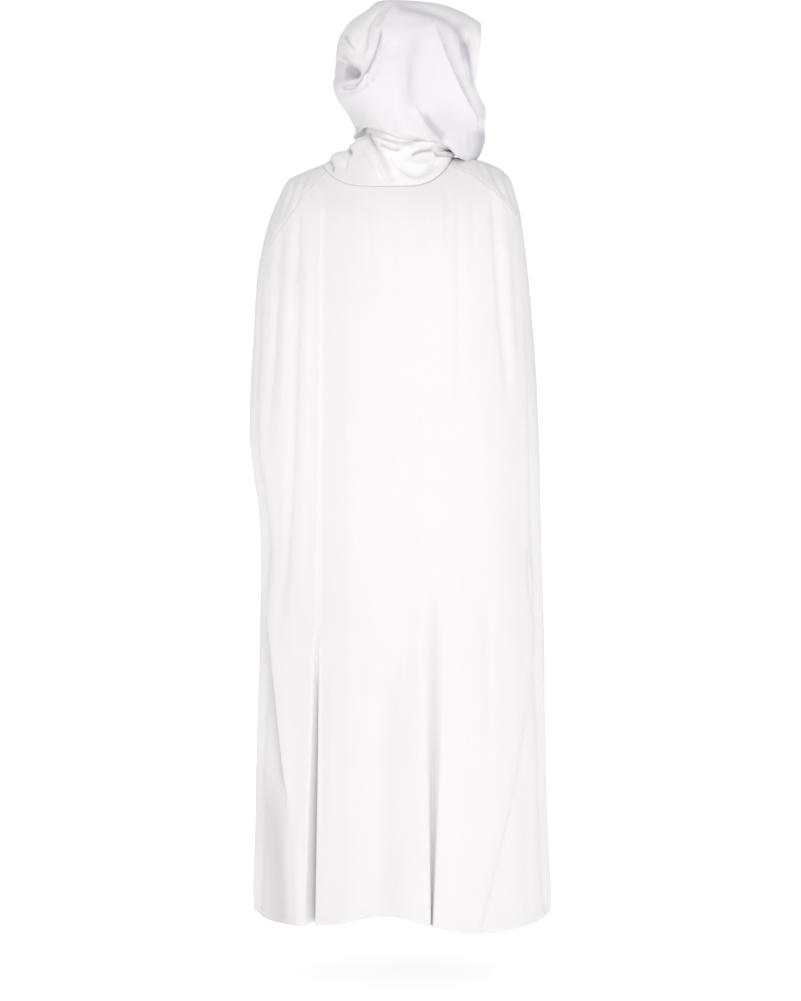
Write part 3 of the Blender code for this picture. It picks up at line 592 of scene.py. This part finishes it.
# ------------------------------------------------------------------ grids
def body_drops():
    """Rows of the body, closer at the shoulders and at the hem."""
    fine = np.linspace(0, LENGTH, 3001)
    need = 1 / 9.6 + (1 / 3.3 - 1 / 9.6) * (1 - ease(fine, 140, 260)) + (1 / 2.4 - 1 / 9.6) * ease(fine, LENGTH - 36, LENGTH - 18)
    total = np.concatenate([[0], np.cumsum((need[1:] + need[:-1]) / 2)])
    return np.interp(np.linspace(0, total[-1], 190), total, fine)


def crowd(drop, angles):
    """Angles of as many columns, closer where the cape has its sharp folds."""
    fine = np.linspace(angles[0], angles[-1], 1201)
    px, py = sight(cape(fine, drop + 0 * fine))
    y = np.clip(py.mean(), 150, 955)
    need = np.ones_like(fine)
    for row, reach, share in ((BACK_FOLDS[0], 9, 3.2), (BACK_FOLDS[17], 10, 2.2), (BACK_FOLDS[8], 9, 1.2), (BACK_FOLDS[22], 8, 0.8)):
        at = np.interp(y, row[1:6:2], row[0:5:2])
        need += share * np.exp(-((px - at) / reach)**2) * ease(drop, 10, 120)
    total = np.concatenate([[0], np.cumsum((need[1:] + need[:-1]) / 2)])
    return np.interp(np.linspace(0, 1, len(angles)) * total[-1], total, fine)


def body_grid(kind):
    drops, rows = body_drops(), []
    for drop in drops:
        left, right = seam_angle(drop, 1), seam_angle(drop, -1)
        half = (np.interp(drop, KNOTS, RING["x_left"]) - np.interp(drop, KNOTS, RING["x_right"])) / 2
        centre = np.pi - np.arcsin(front_gap(drop) / half)
        if kind == "back":
            angles = crowd(drop, np.linspace(left, -right, 2 * COLS_BACK + 1))
        elif kind == "front_left":
            angles = np.linspace(centre, left, COLS_FRONT + 1)
        else:
            angles = np.linspace(-right, -centre, COLS_FRONT + 1)
        rows.append(cape(angles, drop + 0 * angles))
    return np.array(rows), np.repeat(drops[:, None], len(rows[0]), 1)


def hood_grid(side):
    seam = seam_angle(0.0, side)
    angles = np.concatenate([np.linspace(np.pi, seam, COLS_FRONT + 1), np.linspace(seam, 0, COLS_BACK + 1)[1:]])
    vs = np.concatenate([[0.0]] + [np.linspace(low, high, count + 1)[1:]
                                   for (low, _), (high, count) in zip(HOOD_ROWS, HOOD_ROWS[1:])])
    g = hood(1 - angles / np.pi, vs, side)
    s = np.repeat(vs[:, None], g.shape[1], 1)
    return (g[::-1], s[::-1]) if side > 0 else (g[::-1, ::-1], s[::-1, ::-1])


def lengths(grid, axis):
    """Length of cloth along the rows or columns, from the first."""
    step = np.linalg.norm(np.diff(grid, axis=axis), axis=-1)
    pad = [(0, 0), (0, 0)]
    pad[axis] = (1, 0)
    return np.cumsum(np.pad(step, pad), axis=axis)


def cloth_piece(name, grid, normal, sewn, free, neck, tone_and_painted_shade, mat):
    """Thin cloth on the grid, with its turned edges and drawn-in seams."""
    across, down = lengths(grid, 1), lengths(grid, 0)
    far = {"first_col": across, "last_col": across[:, -1:] - across, "first_row": down, "last_row": down[-1:] - down}
    seam_mm = far[neck]
    other_mm = np.min([far[e] for e in sewn if e != neck], axis=0)
    free_mm = {e: far[e] for e in free}
    high = -0.4 * np.exp(-(seam_mm / 1.4)**2) + 0.4 * np.exp(-((seam_mm - 5.5) / 4)**2)
    high += -0.15 * np.exp(-(other_mm / 1.8)**2) + 0.25 * np.exp(-((other_mm - 5) / 4)**2)
    for mm, along in ((seam_mm, across), (other_mm, down)):
        high += 0.22 * np.sin(along / 15 * 2 * np.pi + 1.7 * np.sin(along / 53)) * np.exp(-((mm - 5) / 9)**2) * ease(mm, 0, 4)
    for edge, mm in free_mm.items():
        band = HEM_BAND if edge == "last_row" else RIM_BAND
        high += 0.22 * (1 - ease(mm, band - 1.5, band + 1.5)) - 0.12 * np.exp(-((mm - band) / 1.6)**2)
    points = grid + normal * high[..., None]
    rows, cols = grid.shape[:2]
    index = np.arange(rows * cols).reshape(rows, cols)
    quads = np.stack([index[:-1, :-1], index[1:, :-1], index[1:, 1:], index[:-1, 1:]], -1).reshape(-1, 4)
    mesh = bpy.data.meshes.new(name)
    mesh.from_pydata([tuple(p) for p in points.reshape(-1, 3) * MM], [], [tuple(int(i) for i in q) for q in quads])
    loops = quads.reshape(-1)
    uv = mesh.uv_layers.new(name="cloth")
    uv.data.foreach_set("uv", np.stack([(across * MM).reshape(-1)[loops], (down * MM).reshape(-1)[loops]], -1).reshape(-1))
    hem = free_mm.get("last_row", np.full(grid.shape[:2], 999.0))
    rim = np.min([mm for e, mm in free_mm.items() if e != "last_row"] or [np.full(grid.shape[:2], 999.0)], axis=0)
    for label, values in (("seam_mm", seam_mm), ("hem_mm", hem), ("rim_mm", rim), ("fell_mm", other_mm), ("tone_and_painted_shade", tone_and_painted_shade)):
        layer = mesh.attributes.new(label, "FLOAT", "POINT")
        layer.data.foreach_set("value", np.ascontiguousarray(np.broadcast_to(values, grid.shape[:2]), float).reshape(-1))
    mesh.materials.append(mat)
    mesh.shade_smooth()
    thing = bpy.data.objects.new(name, mesh)
    SCENE.collection.objects.link(thing)
    shell = thing.modifiers.new("thickness", "SOLIDIFY")
    shell.thickness = CLOTH * MM
    shell.offset = -1.0
    shell.use_even_offset = False
    return thing


# -------------------------------------------------------------- materials
def cloth_material(name, colour, shade, rough):
    """Light matte satin: fine weave, a little sheen, slubs, stitching along the edges."""
    mat = bpy.data.materials.new(name)
    mat.use_nodes = True
    tree = mat.node_tree
    nodes, links = tree.nodes, tree.links
    shader = nodes["Principled BSDF"]

    def node(kind, **values):
        n = nodes.new(kind)
        for key, value in values.items():
            if key in n.inputs:
                n.inputs[key].default_value = value
            else:
                setattr(n, key, value)
        return n

    def maths(operation, a, b=None, c=None):
        n = nodes.new("ShaderNodeMath")
        n.operation = operation
        for k, value in enumerate((a, b, c)):
            if value is None:
                continue
            if isinstance(value, (int, float)):
                n.inputs[k].default_value = value
            else:
                links.new(value, n.inputs[k])
        return n.outputs[0]

    def attribute(label):
        n = nodes.new("ShaderNodeAttribute")
        n.attribute_name = label
        return n.outputs["Fac"]

    uv = node("ShaderNodeUVMap", uv_map="cloth").outputs[0]
    split = nodes.new("ShaderNodeSeparateXYZ")
    links.new(uv, split.inputs[0])
    u, v = split.outputs[0], split.outputs[1]
    place_ = nodes.new("ShaderNodeTexCoord").outputs["Object"]

    # weave: fine warp, coarser filling, each thread a little uneven
    def wave(scale, direction, distort):
        w = node("ShaderNodeTexWave", wave_type="BANDS", bands_direction=direction, wave_profile="SIN")
        w.inputs["Scale"].default_value = scale
        w.inputs["Distortion"].default_value = distort
        w.inputs["Detail"].default_value = 1.0
        w.inputs["Detail Scale"].default_value = 2.0
        links.new(uv, w.inputs["Vector"])
        return w.outputs["Fac"]
    weave = maths("ADD", maths("MULTIPLY", wave(620, "X", 0.3), 0.6), maths("MULTIPLY", wave(430, "Y", 0.3), 0.4))
    slub = node("ShaderNodeTexNoise")
    slub.inputs["Scale"].default_value = 34.0
    slub.inputs["Detail"].default_value = 4.0
    stretch = nodes.new("ShaderNodeMapping")
    stretch.inputs["Scale"].default_value = (6.0, 0.35, 1.0)
    links.new(uv, stretch.inputs[0])
    links.new(stretch.outputs[0], slub.inputs["Vector"])
    crumple = node("ShaderNodeTexNoise")
    crumple.inputs["Scale"].default_value = 26.0
    crumple.inputs["Detail"].default_value = 3.0
    crumple.inputs["Roughness"].default_value = 0.45
    links.new(place_, crumple.inputs["Vector"])

    # stitches: along the hem by u, along the upright edges by v
    def stitches(distance, line, along):
        close = maths("SUBTRACT", 1.0, maths("MINIMUM", 1.0, maths("MULTIPLY", maths("ABSOLUTE", maths("SUBTRACT", distance, line)), 1.6)))
        beat = maths("GREATER_THAN", maths("FRACT", maths("MULTIPLY", along, 1000 / STITCH)), 0.28)
        return maths("MULTIPLY", close, beat)
    hem = stitches(attribute("hem_mm"), HEM_BAND - 1.2, u)
    rim = stitches(attribute("rim_mm"), RIM_BAND - 1.2, v)
    thread = maths("MAXIMUM", hem, rim)
    # seam: painted shadow along the neck seam in the colour, and the seam's groove in the bump
    seam = maths("SUBTRACT", 1.0, maths("MINIMUM", 1.0, maths("MULTIPLY", attribute("seam_mm"), 0.55)))
    fell = maths("SUBTRACT", 1.0, maths("MINIMUM", 1.0, maths("MULTIPLY", attribute("fell_mm"), 0.5)))

    # colour: the cloth mixed toward a cooler colour by a per-point weight, which carries painted shade and painted
    # light from the shade rows and darker tones over the hood's bag and the fronts' shoulders; painted shadow along
    # the neck seam, lighter lines along the other seams, faint mottling
    mottle = node("ShaderNodeTexNoise")
    mottle.inputs["Scale"].default_value = 5.0
    mottle.inputs["Detail"].default_value = 3.0
    links.new(place_, mottle.inputs["Vector"])
    mix = node("ShaderNodeMix", data_type="RGBA")
    mix.inputs[6].default_value = (*colour, 1)
    mix.inputs[7].default_value = (*shade, 1)
    weight = maths("ADD", attribute("tone_and_painted_shade"), maths("MULTIPLY", maths("SUBTRACT", mottle.outputs["Fac"], 0.5), 0.16))
    weight = maths("ADD", weight, maths("MULTIPLY", maths("SUBTRACT", slub.outputs["Fac"], 0.5), 0.08))
    # painted shadow along the neck seam
    weight = maths("ADD", weight, maths("MULTIPLY", seam, 0.18))
    weight = maths("SUBTRACT", weight, maths("MULTIPLY", fell, 0.35))
    links.new(maths("MAXIMUM", 0.0, maths("MINIMUM", 1.0, weight)), mix.inputs[0])
    links.new(mix.outputs[2], shader.inputs["Base Color"])
    roughness = maths("ADD", rough, maths("MULTIPLY", maths("SUBTRACT", slub.outputs["Fac"], 0.5), 0.16))
    links.new(roughness, shader.inputs["Roughness"])

    height = maths("ADD", maths("MULTIPLY", weave, 0.00006), maths("MULTIPLY", slub.outputs["Fac"], 0.00016))
    height = maths("ADD", height, maths("MULTIPLY", crumple.outputs["Fac"], 0.0005))
    height = maths("ADD", height, maths("MULTIPLY", thread, 0.00014))
    height = maths("SUBTRACT", height, maths("MULTIPLY", seam, 0.0002))
    bump = nodes.new("ShaderNodeBump")
    bump.inputs["Strength"].default_value = 1.0
    bump.inputs["Distance"].default_value = 1.0
    links.new(height, bump.inputs["Height"])
    links.new(bump.outputs[0], shader.inputs["Normal"])
    shader.inputs["Specular IOR Level"].default_value = 0.35
    shader.inputs["Sheen Weight"].default_value = 0.25
    shader.inputs["Sheen Roughness"].default_value = 0.45
    shader.inputs["Sheen Tint"].default_value = (0.98, 0.97, 1.0, 1)
    return mat


# ------------------------------------------------------------------- build
grids, reach = {}, {}
for kind in ("back", "front_left", "front_right"):
    grids[kind], reach[kind] = body_grid(kind)
grids["hood_left"], reach["hood_left"] = hood_grid(1)
grids["hood_right"], reach["hood_right"] = hood_grid(-1)
base = normals_of(grids)
folded = {name: (fold_hood if name.startswith("hood") else fold_cape)(g, base[name], reach[name])
          for name, g in grids.items()}
normal = normals_of(folded)
# All the grids are drawn with their rows downward and columns to the right of
# someone looking at them, so rows x columns points out of the cloth.

cape_cloth = cloth_material("cape_cloth", (0.905, 0.882, 0.888), (0.68, 0.625, 0.645), 0.50)
hood_cloth = cloth_material("hood_cloth", (0.940, 0.920, 0.922), (0.55, 0.52, 0.60), 0.50)

SEWN = {"back": ("first_row", "first_col", "last_col"), "front_left": ("first_row", "last_col"),
        "front_right": ("first_row", "first_col"), "hood_left": ("last_row", "last_col", "first_row"),
        "hood_right": ("last_row", "first_col", "first_row")}
FREE = {"back": ("last_row",), "front_left": ("last_row", "first_col"), "front_right": ("last_row", "last_col"),
        "hood_left": ("first_col",), "hood_right": ("last_col",)}
NECK = {"back": "first_row", "front_left": "first_row", "front_right": "first_row",
        "hood_left": "last_row", "hood_right": "last_row"}
# each panel: its colour weights and its cloth, with its CAD piece hidden
for name, grid in folded.items():
    hooded = name.startswith("hood")
    rear = ease(base[name][..., 1], -0.05, 0.35)
    px, py = sight(grids[name])
    if hooded:
        bag = ease(reach[name], 0.23, 0.28)
        # painted shade and painted light from the shade rows, on a darker base tone over the hood's bag
        tone_and_painted_shade = 0.24 * bag + (fold_field(px, py, HOOD_PAINTED_LIGHT_AND_SHADE)[0] * bag + fold_field(px, py, COWL_PAINTED_SHADE)[0] * (1 - bag)) * rear
    else:
        tone_and_painted_shade = fold_field(px, py, BACK_PAINTED_SHADE)[0] * rear
        # the fronts darker over the shoulders, more on the wearer's right front, fading out from 150 to 420 mm below
        # the neck
        if name != "back":
            tone_and_painted_shade = tone_and_painted_shade + (0.11 if name == "front_left" else 0.19) * (1 - ease(reach[name], 150, 420))
    thing = cloth_piece(name + "_cloth", grid, normal[name], SEWN[name], FREE[name], NECK[name], tone_and_painted_shade,
                        hood_cloth if hooded else cape_cloth)
    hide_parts(name)
    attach(thing, "root")

# ---------------------------------------------------------- floor and light
FLOOR_Z = -1.517
floor_mesh = bpy.data.meshes.new("floor")
floor_mesh.from_pydata([(-30, -30, FLOOR_Z), (30, -30, FLOOR_Z), (30, 30, FLOOR_Z), (-30, 30, FLOOR_Z)], [], [(0, 1, 2, 3)])
floor = bpy.data.objects.new("floor", floor_mesh)
SCENE.collection.objects.link(floor)
pale = bpy.data.materials.new("pale_floor")
pale.use_nodes = True
pale.node_tree.nodes["Principled BSDF"].inputs["Base Color"].default_value = (0.98, 0.98, 0.98, 1)
pale.node_tree.nodes["Principled BSDF"].inputs["Roughness"].default_value = 0.9
pale.node_tree.nodes["Principled BSDF"].inputs["Emission Color"].default_value = (1, 1, 1, 1)
pale.node_tree.nodes["Principled BSDF"].inputs["Emission Strength"].default_value = 0.46
floor_mesh.materials.append(pale)

SCENE.view_settings.view_transform = "Standard"
world = bpy.data.worlds.new("studio")
SCENE.world = world
world.use_nodes = True
tree = world.node_tree
white = tree.nodes["Background"]
white.inputs["Color"].default_value = (1.0, 1.0, 1.0, 1)
white.inputs["Strength"].default_value = 1.02
# soft light that is a little stronger behind the camera and from above
soft = tree.nodes.new("ShaderNodeBackground")
way = tree.nodes.new("ShaderNodeTexCoord")
tilt = tree.nodes.new("ShaderNodeVectorMath")
tilt.operation = "DOT_PRODUCT"
tilt.inputs[1].default_value = (0.0, 0.22, 0.29)
lift = tree.nodes.new("ShaderNodeMath")
lift.inputs[1].default_value = 0.61
tree.links.new(way.outputs["Generated"], tilt.inputs[0])
tree.links.new(tilt.outputs["Value"], lift.inputs[0])
tree.links.new(lift.outputs[0], soft.inputs["Strength"])
rays = tree.nodes.new("ShaderNodeLightPath")
choose = tree.nodes.new("ShaderNodeMixShader")
tree.links.new(rays.outputs["Is Camera Ray"], choose.inputs[0])
tree.links.new(soft.outputs[0], choose.inputs[1])
tree.links.new(white.outputs[0], choose.inputs[2])
tree.links.new(choose.outputs[0], tree.nodes["World Output"].inputs["Surface"])


def area_light(name, at, aim, size, watts):
    data = bpy.data.lights.new(name, "AREA")
    data.shape = "SQUARE"
    data.size = size
    data.energy = watts
    lamp = bpy.data.objects.new(name, data)
    lamp.location = at
    lamp.rotation_euler = (Vector(aim) - Vector(at)).to_track_quat("-Z", "Y").to_euler()
    SCENE.collection.objects.link(lamp)


area_light("key", (-0.8, 5.4, 2.2), (0, 0, -0.6), 1.6, 60)
